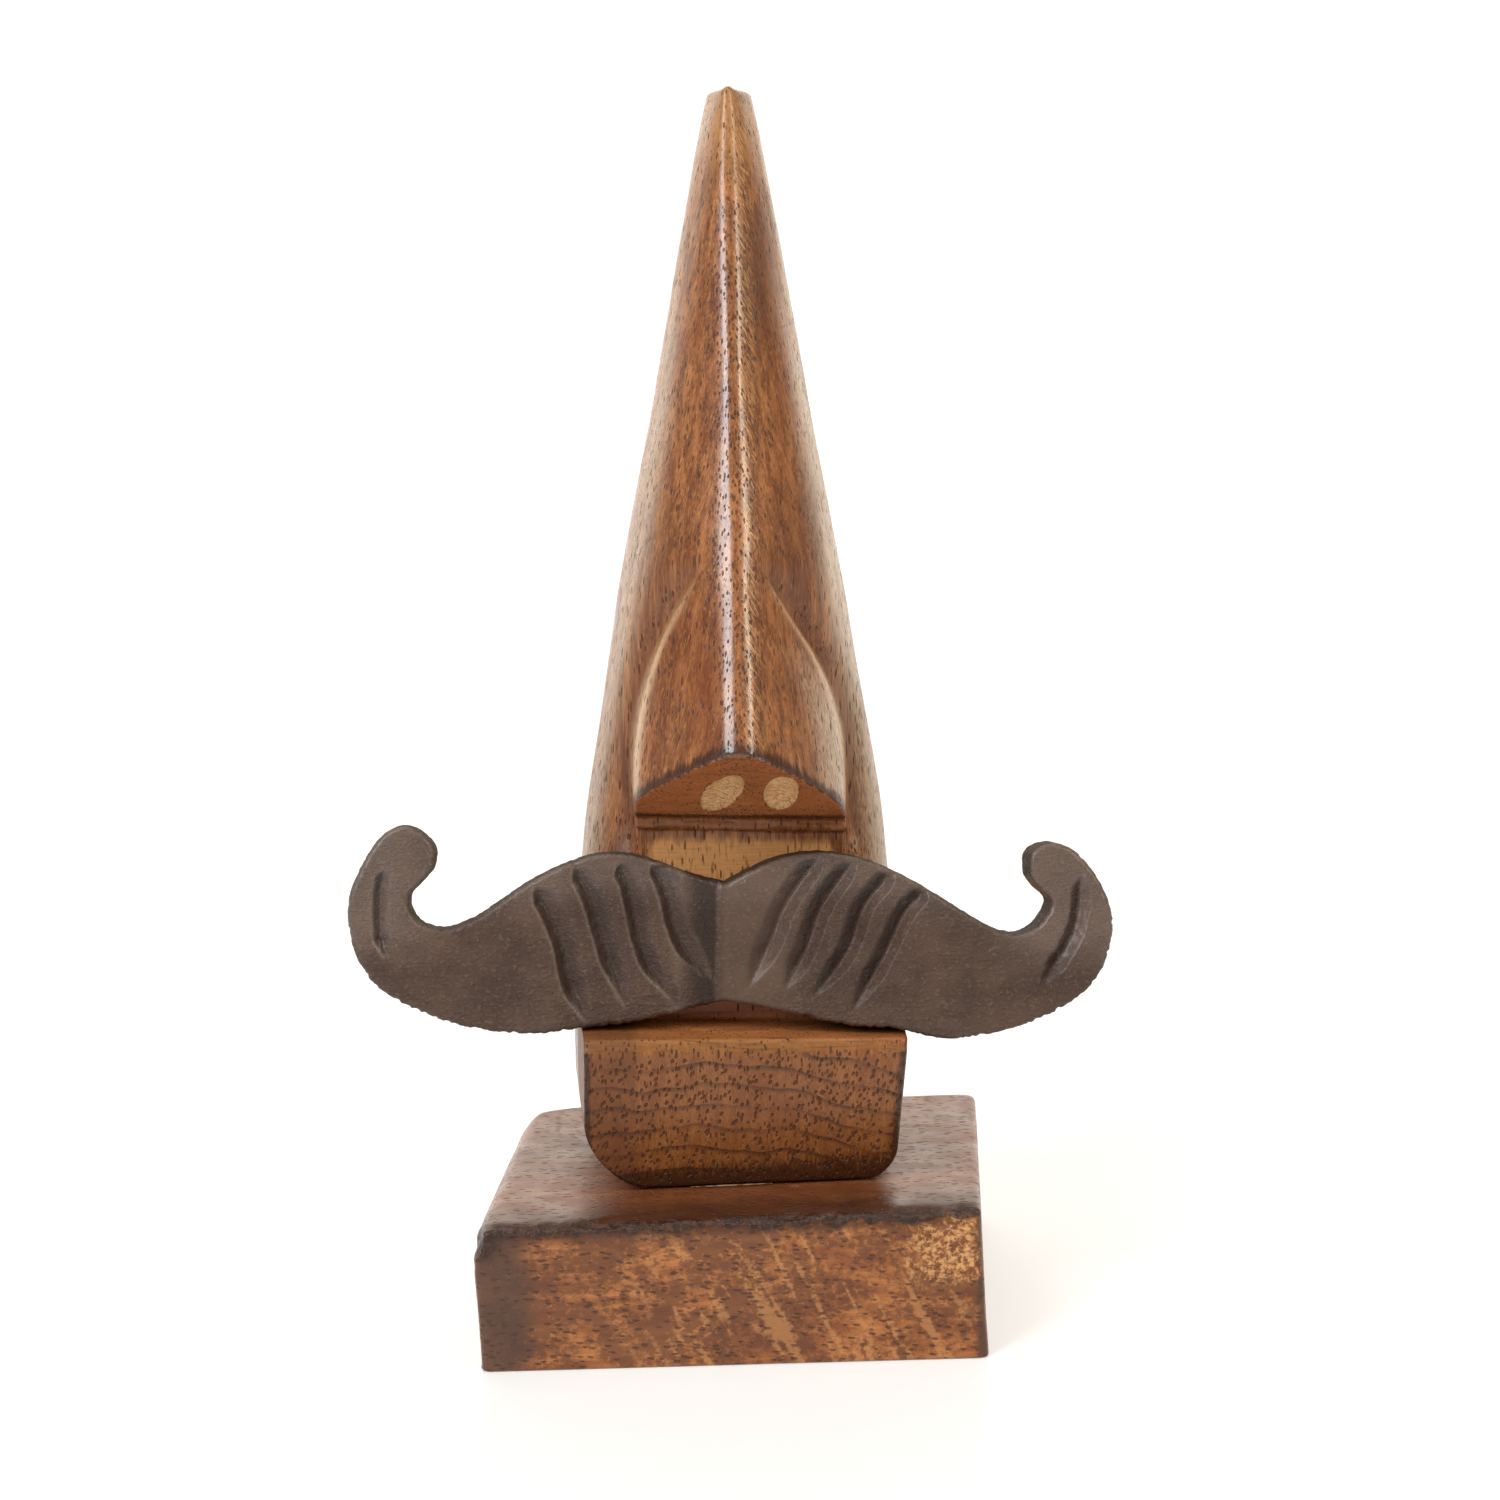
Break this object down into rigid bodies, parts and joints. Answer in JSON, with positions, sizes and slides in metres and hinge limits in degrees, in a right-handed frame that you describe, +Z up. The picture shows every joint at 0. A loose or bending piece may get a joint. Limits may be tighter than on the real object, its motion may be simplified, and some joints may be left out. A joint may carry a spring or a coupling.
{
  "type": "eyeglasses display stand",
  "caption": "Carved wooden stand shaped as a nose with a handlebar moustache on a block foot; spectacles rest over the nose's ridge.",
  "frame": {"origin": "on the base's underside, below the nose's middle plane and midway through the base's depth", "axes": "+Z up, +Y to the back, +X to the right seen from the front; the nose points along -Y"},
  "size_m": [0.1011, 0.0546, 0.1642],
  "materials": {
    "stained_wood": "gloss lacquer",
    "base_wood": "gloss lacquer, charred edges",
    "dark_wood": "dark satin stain",
    "dowel_wood": "raw",
    "glue": "dried white glue",
    "screw_steel": "zinc plated"
  },
  "bodies": {
    "root": {"base_block": "base_wood", "nose_block": "stained_wood", "moustache": "dark_wood", "moustache_dowel_left": "dowel_wood", "moustache_dowel_right": "dowel_wood", "moustache_glue_film": "glue", "base_glue_film": "glue", "base_screw_front": "screw_steel", "base_screw_rear": "screw_steel"}
  },
  "joints": []
}
